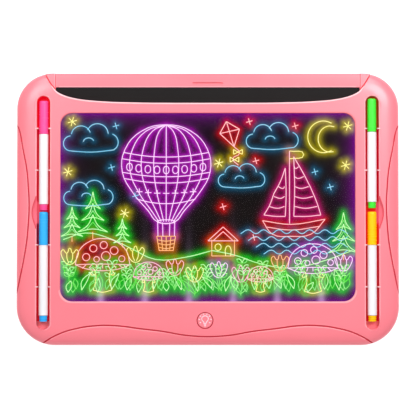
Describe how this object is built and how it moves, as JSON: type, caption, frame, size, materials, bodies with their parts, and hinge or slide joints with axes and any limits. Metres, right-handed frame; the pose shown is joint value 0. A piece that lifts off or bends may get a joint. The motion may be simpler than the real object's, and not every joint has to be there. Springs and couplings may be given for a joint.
{
  "type": "led writing board",
  "caption": "Flat edge-lit drawing board with a clear screen, slide-out backing card, side slots that hold capped pens, a round light button and a fold-out rear stand.",
  "frame": {"origin": "below the middle of the board, on the surface that the rubber feet rest on", "axes": "+X to the board's right, +Y to its top edge, +Z out of its drawing face, with the board on its back"},
  "size_m": [0.35, 0.249, 0.024],
  "materials": {
    "shell_pink": "satin moulded",
    "card_black": "matt",
    "clear_acrylic": "clear polished, a faint violet glow at its edges",
    "circuit_green": "solder mask",
    "steel": "plated",
    "dark_plastic": "moulded",
    "foot_rubber": "moulded",
    "cell_wrap": "printed film",
    "barrel_white": "gloss moulded",
    "nib_felt": "pressed felt",
    "lead_white": "insulated wire",
    "lead_red": "insulated wire",
    "lead_black": "insulated wire",
    "pen_pink_plastic": "gloss moulded",
    "pen_green_plastic": "gloss moulded",
    "pen_blue_plastic": "gloss moulded",
    "pen_yellow_plastic": "gloss moulded"
  },
  "bodies": {
    "board": {"front_shell": "shell_pink", "back_shell": "shell_pink", "card_tray": "shell_pink", "drawing_panel": "clear_acrylic", "led_strip": "circuit_green", "main_pcb": "circuit_green", "switch_housing": "dark_plastic", "kickstand_pin": "steel", "pcb_screw_left": "steel", "pcb_screw_right": "steel", "battery_1": "cell_wrap", "battery_2": "cell_wrap", "battery_3": "cell_wrap", "contact_left_pair": "steel", "contact_left_end": "steel", "contact_right_end": "steel", "contact_right_pair": "steel", "rubber_foot_top_left": "foot_rubber", "rubber_foot_top_right": "foot_rubber", "rubber_foot_bottom_left": "foot_rubber", "rubber_foot_bottom_right": "foot_rubber", "case_screw_top_left": "steel", "case_screw_top_right": "steel", "case_screw_side_left": "steel", "case_screw_side_right": "steel", "case_screw_bottom_left": "steel", "case_screw_bottom_right": "steel", "case_screw_middle_left": "steel", "case_screw_middle_right": "steel", "led_lead": "lead_white", "battery_lead_red": "lead_red", "battery_lead_black": "lead_black"},
    "light_button": {"light_button": "shell_pink", "switch_plunger": "dark_plastic"},
    "backing_card": {"backing_card": "card_black"},
    "kickstand": {"kickstand": "shell_pink"},
    "battery_door": {"battery_door": "shell_pink"},
    "battery_door_screw": {"battery_door_screw": "steel"},
    "pen_pink": {"pen_pink_cap": "pen_pink_plastic", "pen_pink_barrel": "barrel_white", "pen_pink_plug": "pen_pink_plastic", "pen_pink_reservoir": "nib_felt", "pen_pink_nib": "pen_pink_plastic"},
    "pen_green": {"pen_green_cap": "pen_green_plastic", "pen_green_barrel": "barrel_white", "pen_green_plug": "pen_green_plastic", "pen_green_reservoir": "nib_felt", "pen_green_nib": "pen_green_plastic"},
    "pen_blue": {"pen_blue_cap": "pen_blue_plastic", "pen_blue_barrel": "barrel_white", "pen_blue_plug": "pen_blue_plastic", "pen_blue_reservoir": "nib_felt", "pen_blue_nib": "pen_blue_plastic"},
    "pen_yellow": {"pen_yellow_cap": "pen_yellow_plastic", "pen_yellow_barrel": "barrel_white", "pen_yellow_plug": "pen_yellow_plastic", "pen_yellow_reservoir": "nib_felt", "pen_yellow_nib": "pen_yellow_plastic"}
  },
  "joints": [
    {"name": "light_button_press", "type": "slide", "parent": "board", "child": "light_button", "axis": [0, 0, -1], "range_m": [0, 0.0008], "stiffness_N_per_m": 500, "springref_m": -0.0008},
    {"name": "backing_card_slide", "type": "slide", "parent": "board", "child": "backing_card", "axis": [0, 1, 0], "range_m": [0, 0.215]},
    {"name": "kickstand_hinge", "type": "hinge", "parent": "board", "child": "kickstand", "pos_m": [0, -0.006, 0.0039], "axis": [1, 0, 0], "range_deg": [0, 55]},
    {"name": "battery_door_hinge", "type": "hinge", "parent": "board", "child": "battery_door", "pos_m": [0, 0.05005, 0.0015], "axis": [1, 0, 0], "range_deg": [0, 60]},
    {"name": "battery_door_screw_turn", "type": "hinge", "parent": "battery_door", "child": "battery_door_screw", "pos_m": [0, 0.01035, 0.0015], "axis": [0, 0, 1], "continuous": true},
    {"name": "pen_pink_lift", "type": "slide", "parent": "board", "child": "pen_pink", "axis": [0, 0, 1], "range_m": [0, 0.03]},
    {"name": "pen_green_lift", "type": "slide", "parent": "board", "child": "pen_green", "axis": [0, 0, 1], "range_m": [0, 0.03]},
    {"name": "pen_blue_lift", "type": "slide", "parent": "board", "child": "pen_blue", "axis": [0, 0, 1], "range_m": [0, 0.03]},
    {"name": "pen_yellow_lift", "type": "slide", "parent": "board", "child": "pen_yellow", "axis": [0, 0, 1], "range_m": [0, 0.03]}
  ]
}
